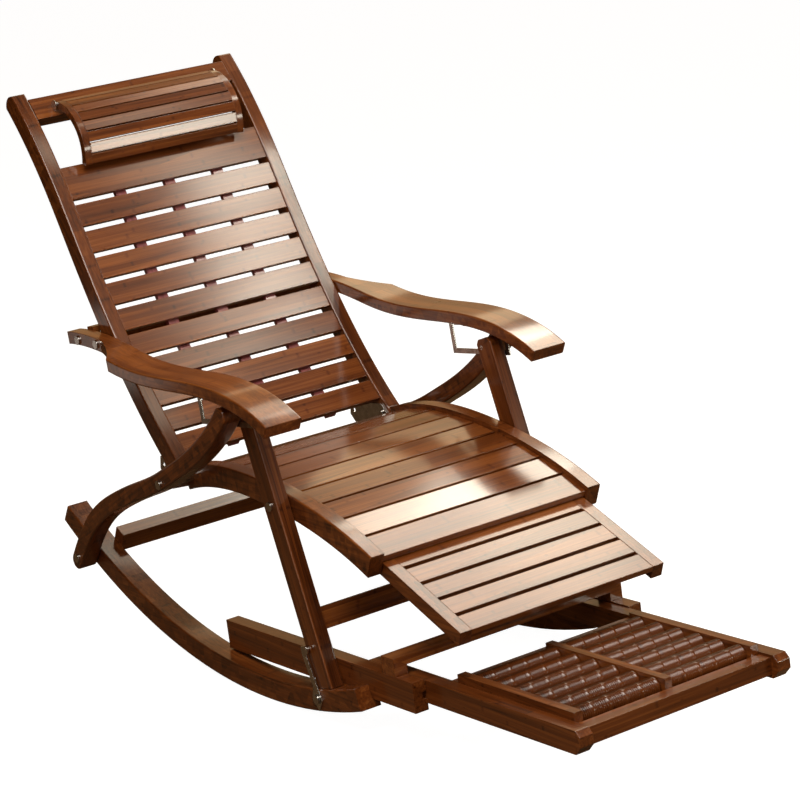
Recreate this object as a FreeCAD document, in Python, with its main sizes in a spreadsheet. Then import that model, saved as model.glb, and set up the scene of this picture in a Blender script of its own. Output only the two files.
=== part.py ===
import FreeCAD, Part
import math
import os

from FreeCAD import Placement, Rotation, Vector

# Bamboo folding rocking recliner with a pull-out leg rest and a foot massage frame.
# X runs across the chair, +Y to the back rest, +Z up. Side views are drawn in the plane of
# the sheet (y backwards from the tip of the massage frame, z up), with the rocker arcs'
# centre one rockerRadius above z = 0. Every piece is then leaned about that centre.

os.makedirs("parts", exist_ok=True)
doc = FreeCAD.newDocument("BambooRecliner")
sheet = doc.addObject("Spreadsheet::Sheet", "Sizes")

# Driving sizes in millimetres and degrees
sizes = {
    "leanAngle": 6.35,
    "railInner": 203.5, "railThick": 26.5, "playSide": 1.2, "play": 0.3,
    "backDepth": 38.0, "seatDepth": 40.0, "slatThick": 10.0,
    "slatRecess": 3.0, "seatRecess": 9.0,
    "seatSlatWide": 55.0, "seatSlatGap": 6.0, "seatSlatCount": 9, "seatSlatStart": 3.0,
    "backSlatWide": 40.3, "backSlatGap": 10.5, "backSlatCount": 10, "backSlatStart": 22.0,
    "wideSlat": 62.0,
    "battenWide": 21.0, "battenThick": 9.0, "topRailWide": 44.0, "topRailThick": 24.0, "topRailBelow": 11.0,
    "legThick": 25.0, "legWide": 42.0, "legCorner": 9.0, "footPlay": 0.7, "braceThick": 34.0, "braceWide": 31.0, "bracePlay": 5.0,
    "rockerPast": 1.8, "rockerThick": 40.0, "rockerRadius": 1100.0, "rockerDepth": 38.0,
    "rockerRear": 712.0, "rockerFront": 200.0,
    "guideDepth": 50.0, "guideThick": 25.0, "grooveDeep": 8.0, "grooveHigh": 12.0,
    "stretcherDeep": 36.0, "stretcherThick": 26.0, "bridgeWide": 34.0, "bridgeDeep": 30.0, "bridgeRise": 15.0,
    "armWide": 69.0, "armThick": 22.0, "armTailWide": 28.0, "armTaperLong": 90.0, "armBarWide": 36.0, "armBarThick": 22.0,
    "headHalf": 165.0, "headEndThick": 13.0, "headEndDeep": 13.0, "headSlatThick": 8.0,
    "headSlatGap": 2.0, "headSlatCount": 8, "headBulge": 33.0,
    "restPlay": 2.0, "footRailThick": 22.0, "footRailDeep": 24.0, "footSlatWide": 37.5,
    "footSlatGap": 8.0, "footSlatCount": 5, "footAngle": 27.4, "footAbove": 7.0, "footPast": 5.0,
    "runnerRadius": 3.0, "runnerGroove": 6.0, "runnerStart": 30.0, "runnerEnd": 225.0, "runnerBelow": 28.6,
    "massageThick": 25.0, "massageDepth": 38.0, "massageBarWide": 26.0, "massageBarDeep": 28.0,
    "massageBarBelow": 4.0, "massageHorn": 15.0, "hornCorner": 9.0,
    "rollerBarThick": 16.0, "rollerBarDeep": 34.0, "rollerBarRise": 13.0,
    "rollerRadius": 16.0, "rollerWaist": 12.0, "rollerRows": 6, "rollerBeads": 6,
    "axleRadius": 3.0, "tonguePlay": 0.4, "tongueEndPlay": 0.8, "dividerThick": 14.0,
    "boltRadius": 4.0, "boltPlay": 0.05, "headRadius": 8.0, "headHigh": 3.0,
    "plateThick": 2.4, "edgeRound": 2.5, "longEdge": 60.0,
    "hingeEar": 15.0, "headHingeRadius": 9.1, "rackTeeth": 5, "rackDeep": 10.0, "rackClear": 10.0,
    "bailWide": 9.0, "bailFrontY": 668.0, "bailRearY": 824.0, "bailDrop": 52.0, "bailLift": 4.0, "hookThick": 3.0, "hookPlate": 2.0, "hookWide": 30.0,
    "hookTall": 40.0, "hookStrap": 12.0, "footRecess": 0.3, "tongueSetback": 6.0, "rearBarAlong": 342.0,
}

# Sizes that follow from the ones above, as formulas of the sheet
formulas = {
    "rockerInner": "railInner + railThick + playSide + legThick + rockerPast - rockerThick",
    "footHalf": "railInner - restPlay",
    "tongueHigh": "grooveHigh - 2 * tonguePlay",
    "tongueDeep": "grooveDeep + play - tongueEndPlay",
}

# Side-view lines as (y, z) points, each entered in the sheet as its own pair of cells
lines = {
    "seatLine": [(434, 269), (505, 305), (600, 341), (700, 368), (800, 386), (880, 391), (978, 381)],
    "backLine": [(988, 383), (1085, 518), (1146, 631), (1206, 765), (1256, 885), (1290, 952), (1344, 1036)],
    "armLine": [(565, 478), (611, 503), (668, 523), (740, 537), (845, 545), (938, 552), (1019, 566),
                (1083, 583), (1150, 598), (1250, 608)],
    "braceLine": [(708, 496), (757, 460), (838, 417), (915, 387), (970, 368), (1046, 349),
                  (1119, 329), (1190, 303), (1240, 274), (1280, 241), (1318, 203)],
    "legLine": [(700, 506), (600, 43.5)],
    "guideLine": [(380, 72.5), (928, 116.3)],
    "massageLine": [(0, 40), (540, 83.2)],
}
# Pivots of the side view
pivots = {
    "rearPivot": (1312, 209), "seatPivot": (952, 368), "legPivot": (666, 341),
    "topPin": (706, 490), "hinge": (1003, 372), "armPivot": (1150, 598),
    "headPivot": (1313, 1008.5), "headEnd": (1247, 899.5), "stud": (622, 24), "screw": (628, 106),
    "rearBar": (1290, 226), "legBar": (623, 150), "bridge": (442, 77.5), "armBar": (1215, 604),
     "hingeLug": (1094, 372),
}


def writeSheet():
    row = 1
    for alias, value in sizes.items():
        addCell(row, alias, value)
        row += 1
    for alias, formula in formulas.items():
        addCell(row, alias, "=" + formula)
        row += 1
    for name, points in lines.items():
        for number, (y, z) in enumerate(points, 1):
            addCell(row, "%sY%d" % (name, number), y)
            addCell(row + 1, "%sZ%d" % (name, number), z)
            row += 2
    for name, (y, z) in pivots.items():
        addCell(row, name + "Back", y)
        addCell(row + 1, name + "Up", z)
        row += 2
    doc.recompute()


def addCell(row, alias, value):
    sheet.set("A%d" % row, alias)
    sheet.set("B%d" % row, str(value))
    sheet.setAlias("B%d" % row, alias)


def size(alias):
    return float(getattr(sheet, alias))


def linePoints(name):
    count = len(lines[name])
    return [(size("%sY%d" % (name, i)), size("%sZ%d" % (name, i))) for i in range(1, count + 1)]


def pivot(name):
    return (size(name + "Back"), size(name + "Up"))


writeSheet()

# Places across the chair that follow from the driving sizes
railOuter = size("railInner") + size("railThick")
legInner = railOuter + size("playSide")
legOuter = legInner + size("legThick")
braceInner = legOuter + size("bracePlay")
braceOuter = braceInner + size("braceThick")
rockerOuter = size("rockerInner") + size("rockerThick")
armInner = railOuter + size("playSide")
armOuter = armInner + size("armWide")
guideOuter = railOuter + size("play")
guideInner = guideOuter - size("guideThick")
massageOuter = guideInner - size("play")
massageInner = massageOuter - size("massageThick")
boreRadius = size("boltRadius") + size("boltPlay")
plateAt = legOuter + (size("bracePlay") - size("plateThick")) / 2
sideSigns = {"left": -1, "right": 1}
finished = []


def smoothCurve(points):
    curve = Part.BSplineCurve()
    curve.interpolate([Vector(y, z, 0) for y, z in points])
    return curve


def offsetPoints(points, distance):
    """Points of a line moved square to it, upwards where distance is positive."""
    if len(points) == 2:
        tangent = Vector(points[1][0] - points[0][0], points[1][1] - points[0][1], 0).normalize()
        tangents = [tangent, tangent]
    else:
        curve = smoothCurve(points)
        tangents = []
        for y, z in points:
            tangents.append(Vector(*curve.tangent(curve.parameter(Vector(y, z, 0)))[0]).normalize())
    return [(y - t.y * distance, z + t.x * distance) for (y, z), t in zip(points, tangents)]


def edgeThrough(points):
    if len(points) == 2:
        return Part.LineSegment(Vector(*points[0], 0), Vector(*points[1], 0))
    return smoothCurve(points)


def closedOutline(upper, lower):
    """Edges of a band between two lines, drawn from front to back."""
    ends = [Part.LineSegment(Vector(*upper[i], 0), Vector(*lower[i], 0)) for i in (0, -1)]
    return [edgeThrough(upper), ends[1], edgeThrough(lower), ends[0]]


def polygonEdges(points):
    corners = [Vector(y, z, 0) for y, z in points]
    return [Part.LineSegment(a, b) for a, b in zip(corners, corners[1:] + corners[:1])]


def newBody(label):
    body = doc.addObject("PartDesign::Body", label)
    body.Label = label
    return body


def sidePlane(body):
    return next(f for f in body.Origin.OriginFeatures if f.Role == "YZ_Plane")


def sideSketch(body, name, edges, acrossFrom):
    sketch = body.newObject("Sketcher::SketchObject", name)
    sketch.AttachmentSupport = [(sidePlane(body), "")]
    sketch.MapMode = "FlatFace"
    sketch.AttachmentOffset = Placement(Vector(0, 0, acrossFrom), Rotation())
    for edge in edges:
        sketch.addGeometry(edge, False)
    return sketch


def padBody(label, edges, acrossLow, thickness, rounded=True):
    """A flat piece cut to a side outline, with its thickness bound to the sheet."""
    body = newBody(label)
    sketch = sideSketch(body, label + "Outline", edges, acrossLow)
    pad = body.newObject("PartDesign::Pad", label + "Pad")
    pad.Profile = sketch
    pad.setExpression("Length", thickness)
    body.Tip = pad
    doc.recompute()
    if rounded:
        roundEdges(body, pad)
    return body


def pocketSide(body, name, edges, acrossFrom, depth, inward):
    """A cut from the plane at acrossFrom towards inward (+1 or -1 along X)."""
    before = body.Shape.Volume
    sketch = sideSketch(body, name + "Sketch", edges, acrossFrom)
    cut = body.newObject("PartDesign::Pocket", name)
    cut.Profile = sketch
    cut.setExpression("Length", depth)
    cut.Reversed = inward > 0
    body.Tip = cut
    doc.recompute()
    if before - body.Shape.Volume < 1:
        raise ValueError(name + " cuts nothing")
    return cut


def roundEdges(body, base, faceAt=None):
    """Rounds a padded piece's long edges in the side plane, or only those of the face at faceAt."""
    names = []
    for number, edge in enumerate(base.Shape.Edges, 1):
        box = edge.BoundBox
        here = faceAt is None or abs(edge.CenterOfMass.x - faceAt) < 0.1
        if box.XLength < 0.01 and edge.Length > size("longEdge") and here:
            names.append("Edge%d" % number)
    fillet = body.newObject("PartDesign::Fillet", body.Name + "Round")
    fillet.Base = (base, names)
    fillet.setExpression("Radius", "Sizes.edgeRound")
    body.Tip = fillet
    doc.recompute()


def keep(item, group):
    finished.append((item, group))
    return item


def lowX(side, inner, thick):
    """Lower X of a piece that starts at inner and is thick wide, on the named side."""
    return inner if side == "right" else -(inner + thick)


def boxPiece(name, spans, centre, across=0.0, angle=0.0):
    """A box of three sheet expressions, centred at (y, z) and turned about X by angle degrees."""
    box = doc.addObject("Part::Box", name)
    for prop, span in zip(("Length", "Width", "Height"), spans):
        box.setExpression(prop, span)
    doc.recompute()
    half = Vector(-box.Length.Value / 2, -box.Width.Value / 2, -box.Height.Value / 2)
    turn = Rotation(Vector(1, 0, 0), angle)
    box.Placement = Placement(Vector(across, *centre) + turn.multVec(half), turn)
    return box


def rodPiece(name, radius, low, high, centre):
    """A round bar along X from low to high."""
    rod = doc.addObject("Part::Cylinder", name)
    rod.setExpression("Radius", radius)
    rod.Height = high - low
    rod.Placement = Placement(Vector(low, *centre), Rotation(Vector(0, 1, 0), 90))
    return rod


def joined(label, pieces, group):
    """One node of several separate solids."""
    node = doc.addObject("Part::Compound", label)
    node.Label = label
    node.Links = pieces
    return keep(node, group)


def fused(label, pieces, group=None):
    node = doc.addObject("Part::MultiFuse", label)
    node.Label = label
    node.Shapes = pieces
    return keep(node, group) if group else node


def cutAway(label, base, tool, group=None):
    node = doc.addObject("Part::Cut", label)
    node.Label = label
    node.Base = base
    node.Tool = tool
    return keep(node, group) if group else node


def boltWithHead(name, side, low, high, centre):
    """A bolt from low to high across the chair, its domed head outside high."""
    sign = sideSigns[side]
    ends = sorted((sign * low, sign * high))
    shank = rodPiece(name + "Shank", "Sizes.boltRadius", ends[0], ends[1], centre)
    top = sign * (high + size("headHigh"))
    ends = sorted((sign * high, top))
    head = rodPiece(name + "Head", "Sizes.headRadius", ends[0], ends[1], centre)
    return fused(name, [shank, head])


def holeEdges(centre, radius):
    return [Part.Circle(Vector(*centre, 0), Vector(0, 0, 1), radius)]


def alongLine(points, distance):
    """Point and slope angle at a distance along a smooth line."""
    curve = smoothCurve(points)
    start, end = curve.FirstParameter, curve.LastParameter
    low, high = start, end
    for _ in range(40):
        middle = (low + high) / 2
        if curve.length(start, middle) < distance:
            low = middle
        else:
            high = middle
    place = curve.value(low)
    tangent = Vector(*curve.tangent(low)[0])
    return (place.x, place.y), math.degrees(math.atan2(tangent.y, tangent.x))


def slatRow(label, line, start, depthBelow, count, wide, gap, span, group):
    """Slats laid side by side along a line, each square to it and below its surface."""
    pieces = slatPieces(label + "Piece", line, start, depthBelow, count, wide, gap, span)
    return joined(label, pieces, group)


def arcOutline(radiusOuter, radiusInner, startAngle, endAngle):
    """Edges of a ring sector about the rocker centre, angles from straight down to the back."""
    centre = pivotCentre()

    def at(radius, angle):
        a = math.radians(angle)
        return Vector(centre[0] + radius * math.sin(a), centre[1] - radius * math.cos(a), 0)
    middle = (startAngle + endAngle) / 2
    outer = Part.Arc(at(radiusOuter, startAngle), at(radiusOuter, middle), at(radiusOuter, endAngle))
    inner = Part.Arc(at(radiusInner, startAngle), at(radiusInner, middle), at(radiusInner, endAngle))
    return [outer, Part.LineSegment(at(radiusOuter, endAngle), at(radiusInner, endAngle)), inner,
            Part.LineSegment(at(radiusInner, startAngle), at(radiusOuter, startAngle))]


def pivotCentre():
    """The rocker arcs stand on the sheet's ground line and pass through the rear pivot."""
    radius = size("rockerRadius")
    y, z = pivot("rearPivot")
    return (y - math.sqrt((radius - size("rockerDepth") / 2) ** 2 - (radius - z) ** 2), radius)


# Base: rockers, guide boards and their cross pieces
def makeBase():
    guide = linePoints("guideLine")
    guideLow = offsetPoints(guide, -size("guideDepth"))
    radius = size("rockerRadius")
    rearAngle = math.degrees(math.asin(size("rockerRear") / radius))
    frontAngle = -math.degrees(math.asin(size("rockerFront") / radius))
    for side in sideSigns:
        rocker = padBody("rocker_" + side, arcOutline(radius, radius - size("rockerDepth"), frontAngle, rearAngle),
                         lowX(side, size("rockerInner"), size("rockerThick")), "Sizes.rockerThick", False)
        # the guide board is let into the rocker's inner top edge
        room = closedOutline(offsetPoints(guide, size("play")), guideLow)
        pocketSide(rocker, "rockerRebate_" + side, room, sideSigns[side] * size("rockerInner"),
                   "Sizes.railInner + Sizes.railThick + 2 * Sizes.play - Sizes.rockerInner", sideSigns[side])
        last = pocketSide(rocker, "rockerBore_" + side, holeEdges(pivot("rearPivot"), boreRadius),
                          sideSigns[side] * size("rockerInner"), "Sizes.rockerThick", sideSigns[side])
        roundEdges(rocker, last, sideSigns[side] * rockerOuter)
        keep(rocker, "base")

        board = padBody("guide_board_" + side, closedOutline(guide, guideLow),
                        lowX(side, guideInner, size("guideThick")), "Sizes.guideThick", False)
        middle = offsetPoints(guide, -size("guideDepth") / 2)
        groove = closedOutline(offsetPoints(middle, size("grooveHigh") / 2),
                               offsetPoints(middle, -size("grooveHigh") / 2))
        pocketSide(board, "guideGroove_" + side, groove, sideSigns[side] * guideInner,
                   "Sizes.grooveDeep", sideSigns[side])
        keep(board, "base")
    bar = boxPiece("rearStretcherBar", ("2 * Sizes.rockerInner", "Sizes.stretcherThick", "Sizes.stretcherDeep"),
                   pivot("rearBar"), 0, arcAngle(pivot("rearBar")))
    bar.Label = "rear_stretcher"
    keep(bar, "base")
    makeBridge()
    bolts = [boltWithHead("rockerBolt_" + side, side, size("rockerInner"), braceOuter, pivot("rearPivot"))
             for side in sideSigns]
    joined("rocker_bolts", bolts, "base")
    studs = [boltWithHead("hookStud_" + side, side, rockerOuter, rockerOuter + size("hookThick"), pivot("stud"))
             for side in sideSigns]
    joined("hook_studs", studs, "base")


def arcAngle(point):
    """Slope angle of the rocker arc beneath a point."""
    centre = pivotCentre()
    return math.degrees(math.atan2(point[0] - centre[0], centre[1] - point[1]))


def guideAngle():
    (y1, z1), (y2, z2) = linePoints("guideLine")
    return math.degrees(math.atan2(z2 - z1, y2 - y1))


def makeBridge():
    """The front cross piece stands on the guide boards and is hollowed for the massage frame."""
    angle = guideAngle()
    seat = Vector(0, *pivot("bridge"))
    up = Rotation(Vector(1, 0, 0), angle).multVec(Vector(0, 0, 1))
    middle = seat + up * (size("bridgeDeep") / 2)
    bar = boxPiece("bridgeBar", ("2 * (Sizes.railInner + Sizes.railThick)", "Sizes.bridgeWide",
                                 "Sizes.bridgeDeep"), (middle.y, middle.z), 0, angle)
    hollow = seat + up * (size("bridgeRise") / 2 - 1)
    room = boxPiece("bridgeRoom", ("2 * (Sizes.railInner + Sizes.railThick - Sizes.guideThick)",
                                   "Sizes.bridgeWide + 2", "Sizes.bridgeRise + 2"),
                    (hollow.y, hollow.z), 0, angle)
    cutAway("front_stretcher", bar, room, "base")


def rockerTop(y):
    """Height of a foot's end over the rocker's top face, at a place along it."""
    radius = size("rockerRadius") - size("rockerDepth") - size("footPlay")
    centre = pivotCentre()
    return centre[1] - math.sqrt(radius ** 2 - (y - centre[0]) ** 2)


def onRocker(top, bottom):
    """Where the line from top to bottom meets the rocker's top face."""
    low, high = 0.0, 1.2
    for _ in range(40):
        middle = (low + high) / 2
        y = top[0] + (bottom[0] - top[0]) * middle
        z = top[1] + (bottom[1] - top[1]) * middle
        if z > rockerTop(y):
            low = middle
        else:
            high = middle
    return (y, z)


# Legs: two posts that stand on the rockers, their cross bar and fittings
def makeLegs():
    line = linePoints("legLine")
    front = offsetPoints(line, -size("legWide") / 2)
    rear = offsetPoints(line, size("legWide") / 2)
    up = Vector(line[0][0] - line[1][0], line[0][1] - line[1][1], 0).normalize()
    cut = up * size("legCorner")
    across = Vector(up.y, -up.x, 0) * size("legCorner")
    tops = [Vector(*front[0], 0) - cut, Vector(*front[0], 0) + across]
    tops += [Vector(*rear[0], 0) - across, Vector(*rear[0], 0) - cut]
    tops = [(point.x, point.y) for point in tops]
    outline = polygonEdges([tops[1], tops[0], onRocker(*front), onRocker(*rear), tops[3], tops[2]])
    for side in sideSigns:
        leg = padBody("leg_" + side, outline, lowX(side, legInner, size("legThick")), "Sizes.legThick", False)
        start = sideSigns[side] * legInner
        pocketSide(leg, "legPivotBore_" + side, holeEdges(pivot("legPivot"), boreRadius), start,
                   "Sizes.legThick", sideSigns[side])
        last = pocketSide(leg, "legPinBore_" + side, holeEdges(pivot("topPin"), boreRadius), start,
                          "Sizes.legThick", sideSigns[side])
        roundEdges(leg, last)
        keep(leg, "legs")
    slope = math.degrees(math.atan2(line[0][1] - line[1][1], line[0][0] - line[1][0]))
    bar = boxPiece("legBarPiece", ("2 * (Sizes.railInner + Sizes.railThick + Sizes.playSide)",
                                   "Sizes.stretcherDeep", "Sizes.stretcherThick"), pivot("legBar"), 0, slope)
    bar.Label = "leg_stretcher"
    keep(bar, "legs")
    pins = []
    for side in sideSigns:
        ends = sorted((sideSigns[side] * legInner, sideSigns[side] * (braceInner - size("play"))))
        pins.append(rodPiece("adjusterPin_" + side, "Sizes.boltRadius", ends[0], ends[1], pivot("topPin")))
    joined("adjuster_pins", pins, "legs")
    screws = [boltWithHead("hookScrew_" + side, side, legOuter, rockerOuter + size("hookThick"), pivot("screw"))
              for side in sideSigns]
    joined("hook_screws", screws, "legs")


# Braces: S-shaped side pieces from the rockers' rear ends up to the arms
def roundedBand(line, half):
    """Edges of a band about a line, with half-round ends."""
    upper, lower = offsetPoints(line, half), offsetPoints(line, -half)
    edges = [edgeThrough(upper), edgeThrough(lower)]
    for index, nearby in ((0, 1), (-1, -2)):
        away = Vector(line[index][0] - line[nearby][0], line[index][1] - line[nearby][1], 0).normalize()
        tip = Vector(*line[index], 0) + away * half
        edges.append(Part.Arc(Vector(*upper[index], 0), tip, Vector(*lower[index], 0)))
    return edges


def makeBraces():
    outline = roundedBand(linePoints("braceLine"), size("braceWide") / 2)
    for side in sideSigns:
        brace = padBody("brace_" + side, outline, lowX(side, braceInner, size("braceThick")),
                        "Sizes.braceThick", False)
        for name in ("rearPivot", "seatPivot"):
            last = pocketSide(brace, "brace_%s_%s" % (name, side), holeEdges(pivot(name), boreRadius),
                              sideSigns[side] * braceInner, "Sizes.braceThick", sideSigns[side])
        roundEdges(brace, last)
        keep(brace, "braces")


# Seat: curved rails, slats laid across, the bolts it hangs on and the hinge brackets
def makeSeat():
    line = linePoints("seatLine")
    under = offsetPoints(line, -size("seatDepth"))
    for side in sideSigns:
        rail = padBody("seat_rail_" + side, closedOutline(line, under),
                       lowX(side, size("railInner"), size("railThick")), "Sizes.railThick", False)
        start = sideSigns[side] * size("railInner")
        for name in ("legPivot", "seatPivot"):
            pocketSide(rail, "seat_%s_%s" % (name, side), holeEdges(pivot(name), boreRadius), start,
                       "Sizes.railThick", sideSigns[side])
        half = size("runnerRadius") + size("play")
        last = pocketSide(rail, "runnerGroove_" + side, roundedBand(runnerLine(), half), start,
                          "Sizes.runnerGroove", sideSigns[side])
        roundEdges(rail, last, sideSigns[side] * railOuter)
        keep(rail, "seat")
    slatRow("seat_slats", line, size("seatSlatStart"), size("seatRecess") + size("slatThick") / 2,
            int(size("seatSlatCount")), ("Sizes.seatSlatWide", size("seatSlatWide")), size("seatSlatGap"),
            "2 * Sizes.railInner", "seat")
    bolts = []
    for side in sideSigns:
        bolts.append(boltWithHead("legBolt_" + side, side, size("railInner"), legOuter, pivot("legPivot")))
        bolt = boltWithHead("braceBolt_" + side, side, size("railInner"), braceOuter, pivot("seatPivot"))
        ends = sorted((sideSigns[side] * (railOuter + size("play")), sideSigns[side] * (braceInner - size("play"))))
        sleeve = rodPiece("sleeve_" + side, "Sizes.headRadius", ends[0], ends[1], pivot("seatPivot"))
        bolts.append(fused("braceBoltSleeved_" + side, [bolt, sleeve]))
    joined("seat_bolts", bolts, "seat")
    makeHingeBrackets()


def makeHingeBrackets():
    """Steel plates on the seat rails' inner sides that carry the back rest's hinge."""
    brackets = []
    hinge, lug = pivot("hinge"), pivot("hingeLug")
    ear, low = size("hingeEar"), size("hingeEar") + size("plateThick") + 4
    outline = [(lug[0] + ear, lug[1] - ear / 2), (lug[0] + ear / 2, lug[1] + ear), (lug[0] - ear, lug[1] + ear),
               (hinge[0], hinge[1] + ear), (hinge[0] - ear, hinge[1] - 2), (hinge[0] - 4 * ear, hinge[1] - ear),
               (hinge[0] - 4 * ear, hinge[1] - low), (lug[0] - ear, hinge[1] - 2 * low)]
    for side in sideSigns:
        sign = sideSigns[side]
        inner = size("railInner") - size("play") - size("plateThick")
        plate = padBody("hingePlate_" + side, polygonEdges(outline), lowX(side, inner, size("plateThick")),
                        "Sizes.plateThick", False)
        for name, point in (("Pin", hinge), ("Lug", lug)):
            pocketSide(plate, "hinge%s_%s" % (name, side), holeEdges(point, boreRadius), sign * inner,
                       "Sizes.plateThick", sign)
        brackets.append(plate)
    joined("hinge_brackets", brackets, "seat")


# Back rest: curved rails, top rail, slats and three battens behind them
def backRailEdges(line, depth):
    under = offsetPoints(line, -depth)
    curve = smoothCurve(line)
    tangent = Vector(*curve.tangent(curve.FirstParameter)[0]).normalize()
    middle = offsetPoints(line, -depth / 2)[0]
    tip = Vector(*middle, 0) - tangent * (depth / 2)
    edges = [edgeThrough(line), edgeThrough(under)]
    edges.append(Part.Arc(Vector(*line[0], 0), tip, Vector(*under[0], 0)))
    curveEnd = Vector(*curve.tangent(curve.LastParameter)[0]).normalize()
    top = Vector(*offsetPoints(line, -depth / 2)[-1], 0) + curveEnd * (depth / 4)
    edges.append(Part.Arc(Vector(*line[-1], 0), top, Vector(*under[-1], 0)))
    return edges


def makeBack():
    line = linePoints("backLine")
    for side in sideSigns:
        rail = padBody("back_rail_" + side, backRailEdges(line, size("backDepth")),
                       lowX(side, size("railInner"), size("railThick")), "Sizes.railThick", False)
        for name in ("hinge", "armPivot"):
            last = pocketSide(rail, "back_%s_%s" % (name, side), holeEdges(pivot(name), boreRadius),
                              sideSigns[side] * size("railInner"), "Sizes.railThick", sideSigns[side])
        roundEdges(rail, last)
        keep(rail, "back")
    pitch = size("backSlatWide") + size("backSlatGap")
    count = int(size("backSlatCount"))
    depth = size("slatRecess") + size("slatThick") / 2
    span = "2 * Sizes.railInner"
    slats = slatPieces("backSlat", line, size("backSlatStart"), depth, count,
                       ("Sizes.backSlatWide", size("backSlatWide")), size("backSlatGap"), span)
    start = size("backSlatStart") + count * pitch
    slats += slatPieces("wideSlatPiece", line, start, depth, 1, ("Sizes.wideSlat", size("wideSlat")), 0, span)
    joined("back_slats", slats, "back")
    curve = smoothCurve(line)
    top = curve.length(curve.FirstParameter, curve.LastParameter) - size("topRailBelow") - size("topRailWide") / 2
    place, angle = alongLine(offsetPoints(line, -size("topRailThick") / 2), top)
    rail = boxPiece("topRailBar", (span, "Sizes.topRailWide", "Sizes.topRailThick"), place, 0, angle)
    rail.Label = "top_rail"
    keep(rail, "back")
    battens = []
    face = -(size("slatRecess") + size("slatThick") + size("play"))
    spine = [alongLine(line, size("backSlatStart"))[0]] + line[1:-2] + [alongLine(line, start + size("wideSlat"))[0]]
    front = offsetPoints(spine, face)
    rear = offsetPoints(spine, face - size("battenThick"))
    for number, share in enumerate((-0.5, 0, 0.5), 1):
        middle = share * size("railInner")
        battens.append(padBody("batten%d" % number, closedOutline(front, rear),
                               middle - size("battenWide") / 2, "Sizes.battenWide", False))
    joined("back_battens", battens, "back")
    bolts = []
    for side in sideSigns:
        inner = size("railInner") - size("play") - size("plateThick")
        shank = rodFor(side, "hingePin_", inner - size("headHigh"), railOuter, pivot("hinge"))
        bolts.append(shank)
        bolts.append(boltWithHead("armBolt_" + side, side, size("railInner"),
                                  armInner + size("armTailWide"), pivot("armPivot")))
    joined("back_bolts", bolts, "back")


def rodFor(side, name, low, high, centre):
    ends = sorted((sideSigns[side] * low, sideSigns[side] * high))
    return rodPiece(name + side, "Sizes.boltRadius", ends[0], ends[1], centre)


def slatPieces(label, line, start, depthBelow, count, wide, gap, span, thick="Sizes.slatThick"):
    pieces = []
    surface = offsetPoints(line, -depthBelow)
    for number in range(count):
        distance = start + number * (wide[1] + gap) + wide[1] / 2
        place, angle = alongLine(surface, distance)
        pieces.append(boxPiece("%s%d" % (label, number + 1), (span, wide[0], thick), place, 0, angle))
    return pieces


# Headrest: arched slats between two end pieces, hinged on the top rail
def headArc(offset):
    """Start, middle and end of the headrest's arch, offset outwards from its centre line."""
    top, end = Vector(*pivot("headPivot"), 0), Vector(*pivot("headEnd"), 0)
    chord = end - top
    forward = Vector(chord.y, -chord.x, 0).normalize()
    middle = (top + end) / 2 + forward * size("headBulge")
    centre = Part.Arc(top, middle, end).toShape().Curve.Center
    return [point + (point - centre).normalize() * offset for point in (top, middle, end)], centre


def makeHeadrest():
    half = size("headEndDeep") / 2
    (outTop, outMiddle, outEnd), centre = headArc(half)
    (inTop, inMiddle, inEnd), centre = headArc(-half)
    edges = [Part.Arc(outTop, outMiddle, outEnd), Part.LineSegment(outEnd, inEnd),
             Part.Arc(inTop, inMiddle, inEnd), Part.LineSegment(inTop, outTop)]
    ends = []
    inner = size("headHalf") - size("headEndThick")
    for side in sideSigns:
        end = padBody("headEnd_" + side, edges, lowX(side, inner, size("headEndThick")),
                      "Sizes.headEndThick", False)
        ends.append(end)
    joined("headrest_ends", ends, "headrest")
    (top, middle, end), centre = headArc(half - size("headSlatThick") / 2)
    radius = (top - centre).Length
    count = int(size("headSlatCount"))
    first = math.atan2(top.y - centre.y, top.x - centre.x)
    last = math.atan2(end.y - centre.y, end.x - centre.x)
    sweep = (last - first) % (2 * math.pi)
    width = radius * sweep / count - size("headSlatGap")
    sheet.set("D2", str(width))
    sheet.setAlias("D2", "headSlatWide")
    doc.recompute()
    slats = []
    for number in range(count):
        angle = first + sweep * (number + 0.5) / count
        place = (centre.x + radius * math.cos(angle), centre.y + radius * math.sin(angle))
        slats.append(boxPiece("headSlat%d" % (number + 1),
                              ("2 * (Sizes.headHalf - Sizes.headEndThick)", "Sizes.headSlatWide",
                               "Sizes.headSlatThick"), place, 0, math.degrees(angle) + 90))
    joined("headrest_slats", slats, "headrest")
    discs = []
    for side in sideSigns:
        ends = sorted((sideSigns[side] * (size("headHalf") + size("play")),
                       sideSigns[side] * (size("headHalf") + size("play") + size("plateThick"))))
        discs.append(rodPiece("headHinge_" + side, "Sizes.headHingeRadius", ends[0], ends[1], pivot("headPivot")))
    joined("headrest_hinges", discs, "back")


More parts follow.
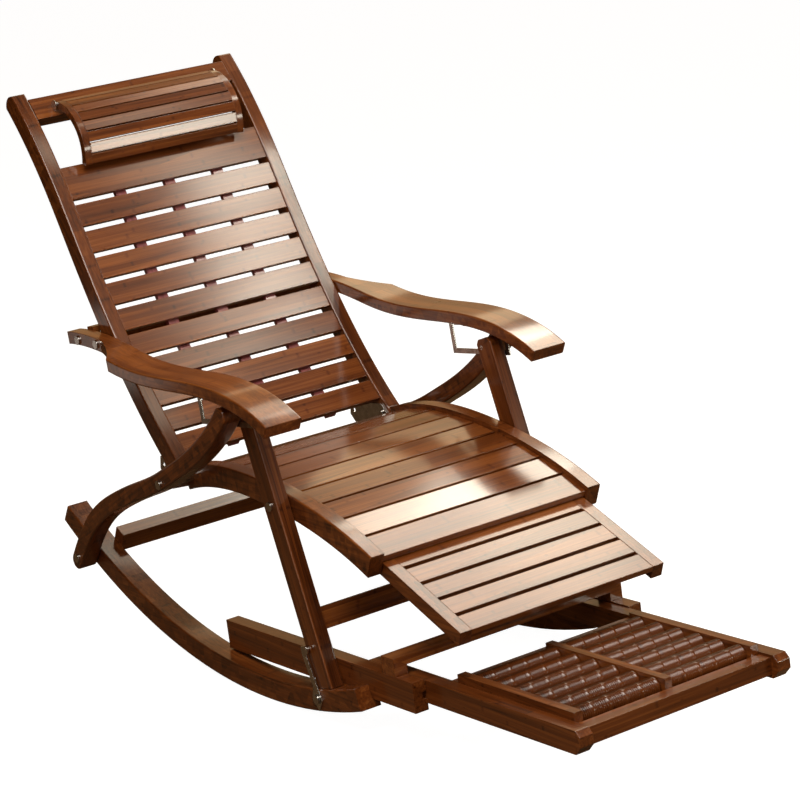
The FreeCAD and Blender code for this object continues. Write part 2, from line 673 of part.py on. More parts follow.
# Arms: broad curved rests whose narrow tails are joined behind the back rest
def makeArms():
    line = linePoints("armLine")
    half = size("armThick") / 2
    edges = closedOutline(offsetPoints(line, half), offsetPoints(line, -half))
    for side in sideSigns:
        arm = padBody("arm_" + side, edges, lowX(side, armInner, size("armWide")), "Sizes.armWide", False)
        roundEdges(arm, arm.Tip)
        taperTail(arm, side, line)
        for name in ("armPivot", "armBar"):
            pocketSide(arm, "arm_%s_%s" % (name, side), holeEdges(pivot(name), boreRadius),
                              sideSigns[side] * armInner, "Sizes.armTailWide", sideSigns[side])
        keep(arm, "arms")
    bar = boxPiece("armBarPiece", ("2 * (Sizes.railInner + Sizes.railThick + Sizes.playSide)",
                                   "Sizes.armBarThick", "Sizes.armBarWide"), pivot("armBar"), 0, 0)
    bar.Label = "arm_crossbar"
    keep(bar, "arms")
    bolts = [boltWithHead("tailBolt_" + side, side, armInner, armInner + size("armTailWide"), pivot("armBar"))
             for side in sideSigns]
    joined("tail_bolts", bolts, "arms")
    joined("adjuster_racks", [makeRack(side) for side in sideSigns], "arms")


def taperTail(arm, side, line):
    """The outer side curves in to the narrow tail ahead of the back rest's bolt."""
    sign = sideSigns[side]
    end = pivot("armPivot")[0] - 2 * size("headRadius")
    start = end - size("armTaperLong")
    wide, narrow = sign * (armOuter + 1), sign * (armInner + size("armTailWide"))
    bend = narrow + (wide - narrow) * 0.25
    points = [Vector(wide, start, 0), Vector(bend, start + (end - start) * 0.6, 0), Vector(narrow, end, 0)]
    edges = [Part.Arc(*points)]
    past = line[-1][0] + size("armThick")
    corners = [points[2], Vector(narrow, past, 0), Vector(wide, past, 0), points[0]]
    edges += [Part.LineSegment(a, b) for a, b in zip(corners, corners[1:])]
    sketch = arm.newObject("Sketcher::SketchObject", "tailPlan_" + side)
    plane = next(f for f in arm.Origin.OriginFeatures if f.Role == "XY_Plane")
    sketch.AttachmentSupport = [(plane, "")]
    sketch.MapMode = "FlatFace"
    sketch.AttachmentOffset = Placement(Vector(0, 0, line[-1][1] + 2 * size("armThick")), Rotation())
    for edge in edges:
        sketch.addGeometry(edge, False)
    before = arm.Shape.Volume
    cut = arm.newObject("PartDesign::Pocket", "tailTaper_" + side)
    cut.Profile = sketch
    cut.setExpression("Length", "8 * Sizes.armThick")
    arm.Tip = cut
    doc.recompute()
    if before - arm.Shape.Volume < 1:
        raise ValueError("the tail taper cuts nothing")


def armUnderside(y):
    """Height of the arm's underside, less its play, at a place along it."""
    curve = smoothCurve(offsetPoints(linePoints("armLine"), -size("armThick") / 2 - size("play")))
    low, high = curve.FirstParameter, curve.LastParameter
    for _ in range(40):
        middle = (low + high) / 2
        if curve.value(middle).x < y:
            low = middle
        else:
            high = middle
    return curve.value(middle).y


def makeRack(side):
    """A toothed steel strip under the arm, in which the leg's pin catches."""
    front, rear = size("bailFrontY") + size("rackClear"), size("bailRearY") - size("rackClear")
    count = int(size("rackTeeth"))
    pitch = (rear - front) / count
    deep = size("rackDeep")
    points = [(front, armUnderside(front)), (rear, armUnderside(rear)), (rear, armUnderside(rear) - deep)]
    for number in range(count):
        at = rear - number * pitch
        points.append((at - pitch * 0.5, armUnderside(at) - deep))
        points.append((at - pitch * 0.75, armUnderside(at) - deep * 0.45))
        points.append((at - pitch, armUnderside(at - pitch) - deep))
    return padBody("rack_" + side, polygonEdges(points), lowX(side, plateAt, size("plateThick")),
                   "Sizes.plateThick", False)


# Bails: wire loops under the arms that keep the leg's pin at the rack
def bailPivot():
    """The bail's eye hangs just under the arm."""
    rear = size("bailRearY")
    return (rear, armUnderside(rear) - size("bailWide") / 2)


def makeBails():
    (rear, top), front = bailPivot(), size("bailFrontY")
    half = size("bailWide") / 2
    low = top - size("bailDrop")
    tip = armUnderside(front - half) - size("bailLift")
    corners = [(rear + half, top), (rear + half, low - half), (front - half, low - half),
               (front - half, tip), (front + half, tip), (front + half, low + half),
               (rear - half, low + half), (rear - half, top)]
    points = [Vector(y, z, 0) for y, z in corners]
    edges = [Part.LineSegment(a, b) for a, b in zip(points, points[1:])]
    edges.append(Part.Arc(points[-1], Vector(rear, top + half, 0), points[0]))
    for side in sideSigns:
        keep(padBody("bail_" + side, edges, lowX(side, plateAt, size("plateThick")),
                     "Sizes.plateThick", False), "bail_" + side)


# Hooks: steel straps on the rockers' studs that catch behind the legs' screws
def makeHooks():
    (studY, studZ), (screwY, screwZ) = pivot("stud"), pivot("screw")
    wide, tall, half = size("hookWide") / 2, size("hookTall") / 2, size("hookStrap") / 2
    gap = size("boltRadius") + size("play") + 0.2
    edgeY = screwY + gap
    low = screwZ - 2 * gap
    points = [(studY, studZ - tall), (studY + wide, studZ), (studY + half, studZ + tall),
              (edgeY + 2 * half, low), (edgeY + 2 * half, screwZ + gap), (edgeY, screwZ + gap), (edgeY, low),
              (studY - half, studZ + tall), (studY - wide, studZ)]
    for side in sideSigns:
        inner = rockerOuter + size("play")
        hook = padBody("hook_" + side, polygonEdges(points), lowX(side, inner, size("hookPlate")),
                       "Sizes.hookPlate", False)
        pocketSide(hook, "hookHole_" + side, holeEdges(pivot("stud"), boreRadius), sideSigns[side] * inner,
                   "Sizes.hookPlate", sideSigns[side])
        keep(hook, "hook_" + side)


# Leg rest: a slatted panel on a dowel that runs in the seat rails
def runnerLine():
    """The dowel's straight path, from two places beneath the seat line."""
    below = offsetPoints(linePoints("seatLine"), -size("runnerBelow"))
    return [alongLine(below, size(end))[0] for end in ("runnerStart", "runnerEnd")]


def footLine():
    """The panel's top, from its front end to just past the dowel."""
    turn = Rotation(Vector(1, 0, 0), size("footAngle"))
    dowel = Vector(0, *runnerLine()[0])
    long = size("footSlatCount") * (size("footSlatWide") + size("footSlatGap")) + size("footPast")
    ends = [dowel + turn.multVec(Vector(0, along, size("footAbove"))) for along in (-long, size("footPast"))]
    return [(end.y, end.z) for end in ends]


def makeLegRest():
    line = footLine()
    under = offsetPoints(line, -size("footRailDeep"))
    rails = []
    for side in sideSigns:
        inner = size("footHalf") - size("footRailThick")
        rail = padBody("footRail_" + side, closedOutline(line, under), lowX(side, inner, size("footRailThick")),
                       "Sizes.footRailThick", False)
        pocketSide(rail, "footBore_" + side, holeEdges(runnerLine()[0], size("runnerRadius") + size("boltPlay")),
                   sideSigns[side] * inner, "Sizes.footRailThick", sideSigns[side])
        rails.append(rail)
    joined("leg_rest_rails", rails, "leg_rest")
    span = "2 * (Sizes.footHalf - Sizes.footRailThick)"
    angle = math.degrees(math.atan2(line[1][1] - line[0][1], line[1][0] - line[0][0]))
    turn = Rotation(Vector(1, 0, 0), angle)
    slats = []
    start = Vector(0, *line[0])
    for number in range(int(size("footSlatCount"))):
        along = number * (size("footSlatWide") + size("footSlatGap")) + size("footSlatWide") / 2
        place = start + turn.multVec(Vector(0, along, -size("footRecess") - size("slatThick") / 2))
        slats.append(boxPiece("footSlat%d" % (number + 1), (span, "Sizes.footSlatWide", "Sizes.slatThick"),
                              (place.y, place.z), 0, angle))
    joined("leg_rest_slats", slats, "leg_rest")
    reach = size("railInner") + size("runnerGroove") - size("play")
    rod = rodPiece("runnerRod", "Sizes.runnerRadius", -reach, reach, runnerLine()[0])
    rod.Label = "leg_rest_runner"
    keep(rod, "leg_rest")


# Massage frame: rails in the guide boards, cross bars and two banks of turned rollers
def makeMassage():
    line = linePoints("massageLine")
    depth = size("massageDepth")
    under = offsetPoints(line, -depth)
    guideMiddle = offsetPoints(linePoints("guideLine"), -size("guideDepth") / 2)
    direction = Vector(guideMiddle[1][0] - guideMiddle[0][0], guideMiddle[1][1] - guideMiddle[0][1], 0).normalize()
    for side in sideSigns:
        rail = padBody("massage_rail_" + side, polygonEdges(hornOutline(line, under)),
                       lowX(side, massageInner, size("massageThick")), "Sizes.massageThick", False)
        start = Vector(*guideMiddle[0], 0) + direction * size("tongueSetback")
        end = Vector(*guideMiddle[0], 0) + direction * (line[1][0] - guideMiddle[0][0] - size("tongueSetback"))
        middle = [(start.x, start.y), (end.x, end.y)]
        band = closedOutline(offsetPoints(middle, size("tongueHigh") / 2),
                             offsetPoints(middle, -size("tongueHigh") / 2))
        face = sideSigns[side] * massageOuter
        sketch = sideSketch(rail, "tongueOutline_" + side, band, face)
        tongue = rail.newObject("PartDesign::Pad", "tongue_" + side)
        tongue.Profile = sketch
        tongue.setExpression("Length", "Sizes.tongueDeep")
        tongue.Reversed = side == "left"
        rail.Tip = tongue
        doc.recompute()
        keep(rail, "massage_frame")
    angle = guideAngle()
    turn = Rotation(Vector(1, 0, 0), angle)
    origin = Vector(0, *line[0])

    def at(along, down):
        place = origin + turn.multVec(Vector(0, along, -down))
        return (place.y, place.z)
    wide = size("massageBarWide")
    horn, below = size("massageHorn"), size("massageBarBelow") + size("massageBarDeep") / 2
    for label, along in (("massage_front_bar", horn + wide / 2), ("massage_rear_bar", size("rearBarAlong"))):
        bar = boxPiece(label + "Piece", ("2 * (Sizes.railInner + Sizes.railThick - Sizes.guideThick"
                                         " - Sizes.massageThick)", "Sizes.massageBarWide",
                                         "Sizes.massageBarDeep"), at(along, below), 0, angle)
        bar.Label = label
        keep(bar, "massage_frame")
    first, last = horn + wide + size("play"), size("rearBarAlong") - wide / 2 - size("play")
    rise = size("rollerBarRise")
    pitch = (last - first) / size("rollerRows")
    centres = [at(first + pitch * (row + 0.5), size("rollerBarDeep") / 2 - rise)
               for row in range(int(size("rollerRows")))]
    bores = [circle for centre in centres for circle in holeEdges(centre, size("axleRadius") + size("boltPlay"))]
    bars = [at(first, -rise), at(last, -rise), at(last, size("rollerBarDeep") - rise),
            at(first, size("rollerBarDeep") - rise)]
    pair = []
    for side in sideSigns:
        inner = massageInner - size("rollerBarThick")
        bar = padBody("rollerBar_" + side, polygonEdges(bars), lowX(side, inner, size("rollerBarThick")),
                      "Sizes.rollerBarThick", False)
        pocketSide(bar, "axleBores_" + side, bores, sideSigns[side] * inner, "Sizes.rollerBarThick",
                   sideSigns[side])
        pair.append(bar)
    joined("roller_bars", pair, "massage_frame")
    divider = padBody("roller_divider", polygonEdges(bars), -size("dividerThick") / 2, "Sizes.dividerThick", False)
    pocketSide(divider, "dividerBores", bores, -size("dividerThick") / 2, "Sizes.dividerThick", 1)
    keep(divider, "massage_frame")
    reach = massageInner - size("play")
    axles = [rodPiece("axle%d" % row, "Sizes.axleRadius", -reach, reach, centre)
             for row, centre in enumerate(centres, 1)]
    joined("roller_axles", axles, "massage_frame")
    for row, centre in enumerate(centres, 1):
        for side in sideSigns:
            makeRoller("roller_%s_%d" % (side, row), side, centre)


def hornOutline(line, under):
    """A massage rail's outline, its front end standing past the bar with cut corners."""
    corner = size("hornCorner")
    along = Vector(line[1][0] - line[0][0], line[1][1] - line[0][1], 0).normalize()
    down = Vector(along.y, -along.x, 0)
    top, low = Vector(*line[0], 0), Vector(*under[0], 0)
    points = [top + along * corner, top + down * corner, low - down * corner * 1.5, low + along * corner * 1.5]
    return [(point.x, point.y) for point in points] + [under[1], line[1]]


def makeRoller(label, side, centre):
    """A turned wood roller: beads between narrower necks, bored for its axle."""
    body = newBody(label)
    inner = size("dividerThick") / 2 + 2 * size("play")
    outer = massageInner - size("rollerBarThick") - 2 * size("play")
    beads = int(size("rollerBeads"))
    pitch = (outer - inner) / beads
    bore = size("axleRadius") + size("boltPlay")
    points = [(inner, bore), (inner, size("rollerWaist"))]
    for number in range(beads):
        start = inner + number * pitch
        points.append((start + pitch * 0.3, size("rollerRadius")))
        points.append((start + pitch * 0.7, size("rollerRadius")))
        points.append((start + pitch, size("rollerWaist")))
    points.append((outer, bore))
    sign = sideSigns[side]
    plane = next(f for f in body.Origin.OriginFeatures if f.Role == "XZ_Plane")
    sketch = body.newObject("Sketcher::SketchObject", label + "Profile")
    sketch.AttachmentSupport = [(plane, "")]
    sketch.MapMode = "FlatFace"
    for edge in polygonEdges([(sign * x, radius) for x, radius in points]):
        sketch.addGeometry(edge, False)
    turned = body.newObject("PartDesign::Revolution", label + "Turned")
    turned.Profile = sketch
    turned.ReferenceAxis = (sketch, ["H_Axis"])
    turned.Angle = 360
    body.Tip = turned
    doc.recompute()
    body.Placement = Placement(Vector(0, *centre), Rotation())
    keep(body, label)


makeBase()
makeLegs()
makeBraces()
makeSeat()
makeBack()
makeHeadrest()
makeArms()
makeBails()
makeHooks()
makeLegRest()
makeMassage()


# The chair leans back about the rocker arcs' centre, then its footprint's middle is the origin
def leanAndSettle():
    centre = Vector(0, *pivotCentre())
    lean = Placement(Vector(0, 0, 0), Rotation(Vector(1, 0, 0), -size("leanAngle")), centre)
    for item, _ in finished:
        item.Placement = lean.multiply(item.Placement)
    doc.recompute()
    box = FreeCAD.BoundBox()
    for item, _ in finished:
        box.add(item.Shape.optimalBoundingBox(False))
    shift = Vector(-box.Center.x, -box.Center.y, -box.ZMin)
    for item, _ in finished:
        item.Placement = Placement(shift, Rotation()).multiply(item.Placement)
    doc.recompute()
    return box, shift


def checkAndWrite():
    box, shift = leanAndSettle()
    for item in doc.Objects:
        if "Invalid" in item.State or "Error" in item.State:
            raise ValueError(item.Name + " did not build")
    labels = [item.Label for item, _ in finished]
    if len(set(labels)) != len(labels):
        raise ValueError("two pieces share a name")
    for item, _ in finished:
        shape = item.Shape
        if shape.isNull() or not shape.isValid():
            raise ValueError(item.Label + " has no valid shape")
        shape.exportStep("parts/" + item.Label + ".step")
    print(len(finished), "nodes, box", box.XLength, box.YLength, box.ZLength, "shift", shift.y, shift.z)


checkAndWrite()
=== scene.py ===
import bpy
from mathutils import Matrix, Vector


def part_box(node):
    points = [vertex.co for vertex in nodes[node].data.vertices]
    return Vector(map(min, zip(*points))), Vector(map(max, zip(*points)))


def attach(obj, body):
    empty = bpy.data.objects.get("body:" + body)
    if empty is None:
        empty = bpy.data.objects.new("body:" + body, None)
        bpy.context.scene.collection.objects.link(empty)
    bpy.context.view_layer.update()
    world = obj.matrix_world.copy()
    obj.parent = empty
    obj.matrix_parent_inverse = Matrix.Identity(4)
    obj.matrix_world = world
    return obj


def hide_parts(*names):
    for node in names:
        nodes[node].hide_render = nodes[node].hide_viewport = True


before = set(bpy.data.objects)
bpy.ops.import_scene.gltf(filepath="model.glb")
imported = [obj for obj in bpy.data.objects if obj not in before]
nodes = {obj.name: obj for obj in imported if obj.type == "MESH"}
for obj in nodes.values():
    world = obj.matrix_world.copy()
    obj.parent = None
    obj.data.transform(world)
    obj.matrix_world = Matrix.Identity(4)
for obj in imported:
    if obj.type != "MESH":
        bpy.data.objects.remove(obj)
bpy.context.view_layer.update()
import bpy
import bmesh
import math
from mathutils import Euler, Matrix, Vector


# Shared shader groups
def newGroup(name, inputs, outputs):
    group = bpy.data.node_groups.new(name, "ShaderNodeTree")
    for label, kind in inputs:
        group.interface.new_socket(label, in_out="INPUT", socket_type=kind)
    for label, kind in outputs:
        group.interface.new_socket(label, in_out="OUTPUT", socket_type=kind)
    start = group.nodes.new("NodeGroupInput")
    end = group.nodes.new("NodeGroupOutput")
    return group, start, end


# Short helpers to add and join the nodes of one tree
class Wiring:
    def __init__(self, tree):
        self.tree = tree

    def add(self, kind, **settings):
        node = self.tree.nodes.new("ShaderNode" + kind)
        for key, value in settings.items():
            setattr(node, key, value)
        return node

    def join(self, source, target):
        self.tree.links.new(source, target)

    def math(self, operation, first, second=None, clamp=False):
        node = self.add("Math", operation=operation, use_clamp=clamp)
        for slot, value in enumerate((first, second)):
            if value is None:
                continue
            if isinstance(value, (int, float)):
                node.inputs[slot].default_value = value
            else:
                self.join(value, node.inputs[slot])
        return node.outputs[0]

    def ramp(self, value, stops):
        node = self.add("ValToRGB")
        elements = node.color_ramp.elements
        while len(elements) < len(stops):
            elements.new(0.5)
        for element, (place, colour) in zip(elements, stops):
            element.position = place
            element.color = (*colour, 1)
        self.join(value, node.inputs[0])
        return node.outputs[0]

    def noise(self, vector, scale, detail, roughness=0.5):
        node = self.add("TexNoise")
        node.inputs["Scale"].default_value = scale
        node.inputs["Detail"].default_value = detail
        node.inputs["Roughness"].default_value = roughness
        self.join(vector, node.inputs["Vector"])
        return node.outputs[0]

    def stretched(self, vector, scale):
        node = self.add("Mapping")
        node.inputs["Scale"].default_value = scale
        self.join(vector, node.inputs["Vector"])
        return node.outputs[0]


# Laminated bamboo along X: strips with their own tone, fine fibres, and the stalk's node marks
def bambooGroup():
    bamboo = {
        "stripWide": 0.019, "stripThick": 0.0075,
        "markApart": 0.23, "markWide": 0.02, "markShift": 7.3, "markDark": 0.13, "markDeep": 0.6,
        "fibreScale": (5, 260, 260), "fibreTone": 0.62, "fibreRoughness": 0.65,
        "cloudScale": (2.5, 30, 30), "cloudTone": 0.34,
        "stripTone": 0.16, "pieceTone": 0.1, "darker": 0.1,
        "roughLeast": 0.28, "roughMore": 0.2,
        "colours": [(0.25, (0.035, 0.0075, 0.0015)), (0.5, (0.15, 0.038, 0.007)),
                    (0.68, (0.26, 0.078, 0.016)), (0.95, (0.42, 0.155, 0.04))],
    }
    inputs = [("Point", "NodeSocketVector"), ("Tone", "NodeSocketFloat")]
    outputs = [("Colour", "NodeSocketColor"), ("Rough", "NodeSocketFloat"), ("Height", "NodeSocketFloat")]
    group, start, end = newGroup("BambooGrain", inputs, outputs)
    w = Wiring(group)
    point = start.outputs["Point"]
    island = w.add("NewGeometry").outputs["Random Per Island"]
    split = w.add("SeparateXYZ")
    w.join(point, split.inputs[0])

    # One random number for each glued strip
    column = w.math("FLOOR", w.math("DIVIDE", split.outputs[1], bamboo["stripWide"]))
    layer = w.math("FLOOR", w.math("DIVIDE", split.outputs[2], bamboo["stripThick"]))
    cell = w.add("CombineXYZ")
    for slot, value in enumerate((column, layer, island)):
        w.join(value, cell.inputs[slot])
    white = w.add("TexWhiteNoise", noise_dimensions="3D")
    w.join(cell.outputs[0], white.inputs["Vector"])
    strip = white.outputs["Value"]

    fibres = w.noise(w.stretched(point, bamboo["fibreScale"]), 1.0, 8, bamboo["fibreRoughness"])
    clouds = w.noise(w.stretched(point, bamboo["cloudScale"]), 1.0, 3)

    # Node marks stand at a regular distance, shifted for each strip
    along = w.math("ADD", w.math("DIVIDE", split.outputs[0], bamboo["markApart"]),
                   w.math("MULTIPLY", strip, bamboo["markShift"]))
    away = w.math("ABSOLUTE", w.math("SUBTRACT", w.math("FRACT", along), 0.5))
    mark = w.math("SUBTRACT", 1.0, w.math("DIVIDE", away, bamboo["markWide"]), clamp=True)

    tone = w.math("ADD", w.math("MULTIPLY", fibres, bamboo["fibreTone"]),
                  w.math("MULTIPLY", strip, bamboo["stripTone"]))
    tone = w.math("ADD", tone, w.math("MULTIPLY", clouds, bamboo["cloudTone"]))
    tone = w.math("ADD", tone, w.math("MULTIPLY", island, bamboo["pieceTone"]))
    tone = w.math("ADD", tone, w.math("SUBTRACT", start.outputs["Tone"], bamboo["darker"]))
    tone = w.math("SUBTRACT", tone, w.math("MULTIPLY", mark, bamboo["markDark"]))
    rough = w.math("ADD", bamboo["roughLeast"], w.math("MULTIPLY", fibres, bamboo["roughMore"]))
    height = w.math("SUBTRACT", fibres, w.math("MULTIPLY", mark, bamboo["markDeep"]))
    w.join(w.ramp(tone, bamboo["colours"]), end.inputs["Colour"])
    w.join(rough, end.inputs["Rough"])
    w.join(height, end.inputs["Height"])
    return group


grainGroup = bambooGroup()


# Materials
def newMaterial(name):
    material = bpy.data.materials.new(name)
    material.use_nodes = True
    material.node_tree.nodes.clear()
    w = Wiring(material.node_tree)
    shader = w.add("BsdfPrincipled")
    out = w.add("OutputMaterial")
    w.join(shader.outputs[0], out.inputs[0])
    return material, w, shader


# Varnished bamboo, turned so that its fibres run along the piece; a lower tone is darker
def bambooMaterial(name, turn=(0, 0, 0), tone=0.0):
    varnish = {"edge": 0.0018, "grainStrength": 0.12, "grainDeep": 0.0004,
               "coatRough": 0.13, "coatIor": 1.55, "underShine": 0.15}
    material, w, shader = newMaterial(name)
    place = w.add("TexCoord")
    mapping = w.add("Mapping")
    mapping.inputs["Rotation"].default_value = [math.radians(v) for v in turn]
    w.join(place.outputs["Object"], mapping.inputs["Vector"])
    grain = w.add("Group")
    grain.node_tree = grainGroup
    grain.inputs["Tone"].default_value = tone
    w.join(mapping.outputs[0], grain.inputs["Point"])
    w.join(grain.outputs["Colour"], shader.inputs["Base Color"])
    w.join(grain.outputs["Rough"], shader.inputs["Roughness"])
    edge = w.add("Bevel")
    edge.inputs["Radius"].default_value = varnish["edge"]
    bump = w.add("Bump")
    bump.inputs["Strength"].default_value = varnish["grainStrength"]
    bump.inputs["Distance"].default_value = varnish["grainDeep"]
    w.join(grain.outputs["Height"], bump.inputs["Height"])
    w.join(edge.outputs[0], bump.inputs["Normal"])
    w.join(bump.outputs[0], shader.inputs["Normal"])
    w.join(edge.outputs[0], shader.inputs["Coat Normal"])
    shader.inputs["Coat Weight"].default_value = 1.0
    shader.inputs["Coat Roughness"].default_value = varnish["coatRough"]
    shader.inputs["Coat IOR"].default_value = varnish["coatIor"]
    shader.inputs["Specular IOR Level"].default_value = varnish["underShine"]
    return material


# The reddish wood of the three battens behind the back rest
def battenMaterial():
    batten = {"streakScale": (200, 8, 8), "rough": 0.35, "coat": 0.6,
              "colours": [(0.3, (0.16, 0.025, 0.025)), (0.7, (0.34, 0.075, 0.075))]}
    material, w, shader = newMaterial("redBatten")
    place = w.add("TexCoord")
    streak = w.noise(w.stretched(place.outputs["Object"], batten["streakScale"]), 1.0, 5)
    w.join(w.ramp(streak, batten["colours"]), shader.inputs["Base Color"])
    shader.inputs["Roughness"].default_value = batten["rough"]
    shader.inputs["Coat Weight"].default_value = batten["coat"]
    return material


def steelMaterial():
    plating = {"smearScale": 90.0, "roughLeast": 0.16, "roughMore": 0.16, "edge": 0.0008,
               "colours": [(0.3, (0.5, 0.49, 0.47)), (0.7, (0.72, 0.7, 0.67))]}
    material, w, shader = newMaterial("platedSteel")
    place = w.add("TexCoord")
    smear = w.noise(place.outputs["Object"], plating["smearScale"], 4)
    w.join(w.ramp(smear, plating["colours"]), shader.inputs["Base Color"])
    rough = w.math("ADD", plating["roughLeast"], w.math("MULTIPLY", smear, plating["roughMore"]))
    w.join(rough, shader.inputs["Roughness"])
    shader.inputs["Metallic"].default_value = 1.0
    edge = w.add("Bevel")
    edge.inputs["Radius"].default_value = plating["edge"]
    w.join(edge.outputs[0], shader.inputs["Normal"])
    return material


acrossWood = bambooMaterial("bambooAcross")
levelWood = bambooMaterial("bambooLevel", (0, 0, -90), -0.05)
backWood = bambooMaterial("bambooBack", (-52, 0, -90), -0.05)
legWood = bambooMaterial("bambooLeg", (-71, 0, -90), -0.06)
braceWood = bambooMaterial("bambooBrace", (28, 0, -90), -0.07)
armWood = bambooMaterial("bambooArm", (0, 0, -90), 0.02)
rollerWood = bambooMaterial("bambooRoller", (0, 0, 0), -0.17)
battenWood = battenMaterial()
steel = steelMaterial()

# The wood of each piece by the start of its name; any other wooden piece lies across the chair
woodOf = {
    "rocker": levelWood, "guide_board": levelWood, "massage_rail": levelWood,
    "seat_rail": levelWood, "roller_bars": levelWood, "roller_divider": levelWood,
    "leg_rest_rails": levelWood, "back_rail": backWood, "headrest_ends": backWood,
    "leg_left": legWood, "leg_right": legWood, "brace": braceWood,
    "arm_left": armWood, "arm_right": armWood, "back_battens": battenWood,
}
steelNodes = ("rocker_bolts", "hook_studs", "hook_screws", "adjuster_pins", "seat_bolts",
              "hinge_brackets", "back_bolts", "headrest_hinges", "tail_bolts", "adjuster_racks",
              "bail_left", "bail_right", "hook_left", "hook_right", "roller_axles")


def paint(thing, material):
    thing.data.materials.clear()
    thing.data.materials.append(material)


for name, thing in nodes.items():
    chosen = acrossWood
    for start, wood in woodOf.items():
        if name.startswith(start):
            chosen = wood
    if name in steelNodes:
        chosen = steel
    paint(thing, chosen)
print("CAD pieces painted")


# Turned rollers: groups of fine rings between smooth drums, as (along, radius) points
def rollerProfile(length, radius):
    roller = {
        "groups": 5, "rings": 7, "drumShare": 0.18,
        "inner": (0.5, 0.9), "outer": (0.85, 0.5),  # shares of the radius at the two ends
        "drum": [(0.08, 0.97), (0.92, 0.97)],
        "ring": [(0.1, 0.74), (0.35, 0.97), (0.65, 1.0), (0.9, 0.9)],
    }
    points = [(0.0, radius * share) for share in roller["inner"]]
    group = length / roller["groups"]
    drum = group * roller["drumShare"]
    ring = (group - drum) / roller["rings"]
    for number in range(roller["groups"]):
        start = number * group
        points += [(start + drum * along, radius * share) for along, share in roller["drum"]]
        for turn in range(roller["rings"]):
            at = start + drum + turn * ring
            points += [(at + ring * along, radius * share) for along, share in roller["ring"]]
    points += [(length, radius * share) for share in roller["outer"]]
    return points


# A mesh of revolution about X
def turned(name, profile, segments=20):
    mesh = bpy.data.meshes.new(name)
    made = bmesh.new()
    rings = []
    for along, radius in profile:
        ring = []
        for step in range(segments):
            angle = 2 * math.pi * step / segments
            ring.append(made.verts.new((along, radius * math.cos(angle), radius * math.sin(angle))))
        rings.append(ring)
    for first, second in zip(rings, rings[1:]):
        for step in range(segments):
            following = (step + 1) % segments
            made.faces.new((first[step], first[following], second[following], second[step]))
    for ring, order in ((rings[0], -1), (rings[-1], 1)):
        made.faces.new(ring[::order])
    bmesh.ops.recalc_face_normals(made, faces=made.faces)
    made.to_mesh(mesh)
    made.free()
    for face in mesh.polygons:
        face.use_smooth = True
    thing = bpy.data.objects.new(name, mesh)
    bpy.context.scene.collection.objects.link(thing)
    return thing


# Each roller starts at the divider and runs outwards, so the left ones are mirrored
def makeRollers():
    for name in sorted(nodes):
        if not name.startswith("roller_") or name[-1] not in "123456":
            continue
        low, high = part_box(name)
        middle = (low + high) / 2
        piece = turned("turned_" + name, rollerProfile(high.x - low.x, (high.z - low.z) / 2))
        facing = 1 if middle.x > 0 else -1
        inner = low.x if facing > 0 else high.x
        piece.data.transform(Matrix.Translation((inner, 0, 0)) @ Matrix.Scale(facing, 4, (1, 0, 0)))
        if facing < 0:
            piece.data.flip_normals()
        piece.location = (0, middle.y, middle.z)
        paint(piece, rollerWood)
        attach(piece, name)
        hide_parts(name)


makeRollers()
print("rollers made")

warmWhite = (1, 0.95, 0.8)
keyWhite = (1, 0.93, 0.85)

# Each panel hangs where its spot on the chair mirrors it towards the camera.
# mirror: the direction from the spot as degrees from +Y towards +X, and up
panels = {
    "sheenLegRest": {"spot": (0.0, -0.37, 0.25), "mirror": (56.5, 48.3), "size": (1.15, 0.8),
                     "glow": 5.2, "colour": (1, 0.93, 0.78)},
    "sheenSeatFront": {"spot": (0.06, -0.2, 0.33), "mirror": (48.0, 42.0), "size": (0.7, 0.55),
                       "glow": 8.0, "colour": (1, 0.92, 0.76)},
    "sheenSeatMiddle": {"spot": (0.0, 0.0, 0.36), "mirror": (37.0, 27.0), "size": (0.9, 0.7),
                        "glow": 1.3, "colour": (1, 0.8, 0.5)},
    "sheenBack": {"spot": (0.16, 0.56, 0.74), "mirror": (139.8, 38.2), "size": (0.34, 0.26),
                  "glow": 14.0, "colour": warmWhite},
    "sheenBackLow": {"spot": (0.06, 0.44, 0.54), "mirror": (135.0, 45.0), "size": (0.22, 0.3),
                     "glow": 4.0, "colour": warmWhite},
    "sheenHeadrest": {"spot": (0.0, 0.59, 0.875), "mirror": (150.8, -2.8), "size": (0.6, 0.34),
                      "glow": 15.0, "colour": warmWhite},
    "sheenRail": {"spot": (-0.21, 0.58, 0.78), "mirror": (135.0, 50.0), "size": (0.24, 1.4),
                  "glow": 3.6, "colour": (1, 0.85, 0.65)},
    "sheenArms": {"spot": (-0.27, -0.09, 0.53), "mirror": (46.0, 46.0), "size": (0.4, 0.6),
                  "glow": 2.6, "colour": (1, 0.85, 0.65)},
    "sheenArmRight": {"spot": (0.27, -0.12, 0.51), "mirror": (60.0, 48.0), "size": (0.4, 0.3),
                      "glow": 2.8, "colour": (1, 0.8, 0.55)},
    "sideGlow": {"spot": (-0.27, 0.35, 0.56), "mirror": (-28.0, -13.0), "size": (0.3, 0.2),
                 "glow": 0.7, "colour": (1, 0.85, 0.75), "distance": 1.6},
    "keyAbove": {"spot": (0.0, 0.0, 0.4), "mirror": (-138.0, 56.0), "size": (1.6, 1.6),
                 "glow": 9.0, "colour": keyWhite},
    "keyFront": {"spot": (0.0, 0.0, 0.4), "mirror": (175.0, 50.0), "size": (1.6, 1.2),
                 "glow": 5.0, "colour": keyWhite},
    "fillLeft": {"spot": (0.0, 0.0, 0.4), "mirror": (-119.0, 14.0), "size": (1.2, 1.6),
                 "glow": 2.2, "colour": (1, 0.9, 0.8)},
}


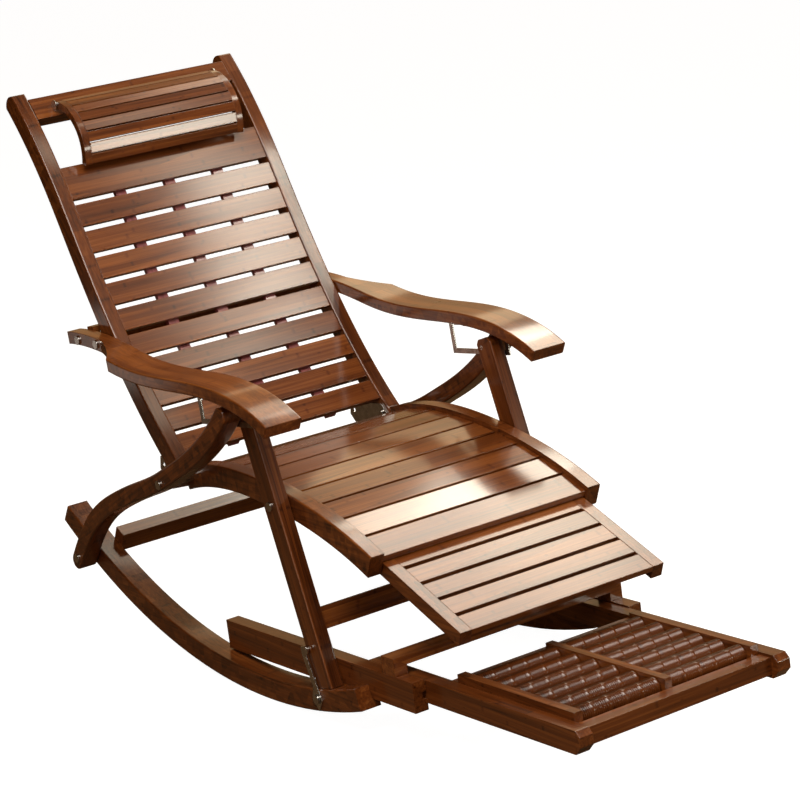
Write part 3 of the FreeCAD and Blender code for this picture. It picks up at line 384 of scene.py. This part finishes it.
def hangPanel(name, spot, mirror, size, glow, colour, distance=3.2):
    azimuth, elevation = (math.radians(v) for v in mirror)
    away = Vector((math.sin(azimuth) * math.cos(elevation), math.cos(azimuth) * math.cos(elevation),
                   math.sin(elevation)))
    wide, tall = size
    data = bpy.data.lights.new(name, "AREA")
    data.shape = "RECTANGLE"
    data.size, data.size_y = wide, tall
    data.energy = math.pi * wide * tall * glow
    data.color = colour
    lamp = bpy.data.objects.new(name, data)
    bpy.context.scene.collection.objects.link(lamp)
    lamp.location = Vector(spot) + away * distance
    lamp.rotation_euler = (-away).to_track_quat("-Z", "Y").to_euler()


for name, settings in panels.items():
    hangPanel(name, **settings)


# A tree that shows one surface to the camera and another to every other ray
def splitForCamera(w, unseen, seen, output):
    path = w.add("LightPath")
    both = w.add("MixShader")
    w.join(path.outputs["Is Camera Ray"], both.inputs[0])
    w.join(unseen.outputs[0], both.inputs[1])
    w.join(seen.outputs[0], both.inputs[2])
    out = w.add(output)
    w.join(both.outputs[0], out.inputs[0])


# White to the camera, and to the object a dim warm studio that glows behind the chair
def makeWorld():
    studio = {"towards": (0.56, 0.75, 0.35), "white": (1, 1, 1, 1),
              "colours": [(0.0, (0.03, 0.016, 0.006)), (0.72, (0.05, 0.026, 0.009)),
                          (0.97, (0.36, 0.22, 0.1))]}
    world = bpy.data.worlds.new("studio")
    bpy.context.scene.world = world
    world.use_nodes = True
    world.node_tree.nodes.clear()
    w = Wiring(world.node_tree)
    seen = w.add("Background")
    seen.inputs["Color"].default_value = studio["white"]
    lit = w.add("Background")
    place = w.add("TexCoord")
    towards = w.add("VectorMath", operation="DOT_PRODUCT")
    w.join(place.outputs["Generated"], towards.inputs[0])
    towards.inputs[1].default_value = Vector(studio["towards"]).normalized()
    w.join(w.ramp(towards.outputs["Value"], studio["colours"]), lit.inputs["Color"])
    splitForCamera(w, lit, seen, "OutputWorld")


makeWorld()


# A pale floor: near white to the camera with the chair's soft shadow, dim warm in the varnish
def makeFloor():
    floor = {"half": 30.0, "below": 0.0005, "glow": 0.97,
             "pale": (0.35, 0.329, 0.301, 1), "dim": (0.12, 0.075, 0.04, 1)}
    half = floor["half"]
    corners = [(-half, -half, 0), (half, -half, 0), (half, half, 0), (-half, half, 0)]
    mesh = bpy.data.meshes.new("floor")
    mesh.from_pydata(corners, [], [(0, 1, 2, 3)])
    ground = bpy.data.objects.new("floor", mesh)
    bpy.context.scene.collection.objects.link(ground)
    ground.location.z = -floor["below"]
    material = bpy.data.materials.new("paleFloor")
    material.use_nodes = True
    material.node_tree.nodes.clear()
    w = Wiring(material.node_tree)
    matt = w.add("BsdfDiffuse")
    matt.inputs["Color"].default_value = floor["pale"]
    white = w.add("Emission")
    white.inputs["Strength"].default_value = floor["glow"]
    bright = w.add("AddShader")
    w.join(matt.outputs[0], bright.inputs[0])
    w.join(white.outputs[0], bright.inputs[1])
    dim = w.add("BsdfDiffuse")
    dim.inputs["Color"].default_value = floor["dim"]
    splitForCamera(w, dim, bright, "OutputMaterial")
    paint(ground, material)


makeFloor()
print("lights and floor ready")


def makeCamera():
    view = {"place": (-2.46462, -3.76591, 1.63082), "turn": (75.26297, 6.32513, -35.33298),
            "lens": 126.36, "sensor": 36.0}
    data = bpy.data.cameras.new("camera")
    data.lens = view["lens"]
    data.sensor_width = view["sensor"]
    camera = bpy.data.objects.new("camera", data)
    bpy.context.scene.collection.objects.link(camera)
    camera.location = view["place"]
    camera.rotation_euler = Euler([math.radians(v) for v in view["turn"]], "XYZ")
    bpy.context.scene.camera = camera


makeCamera()
bpy.context.scene.view_settings.view_transform = "Standard"

print("scene ready")
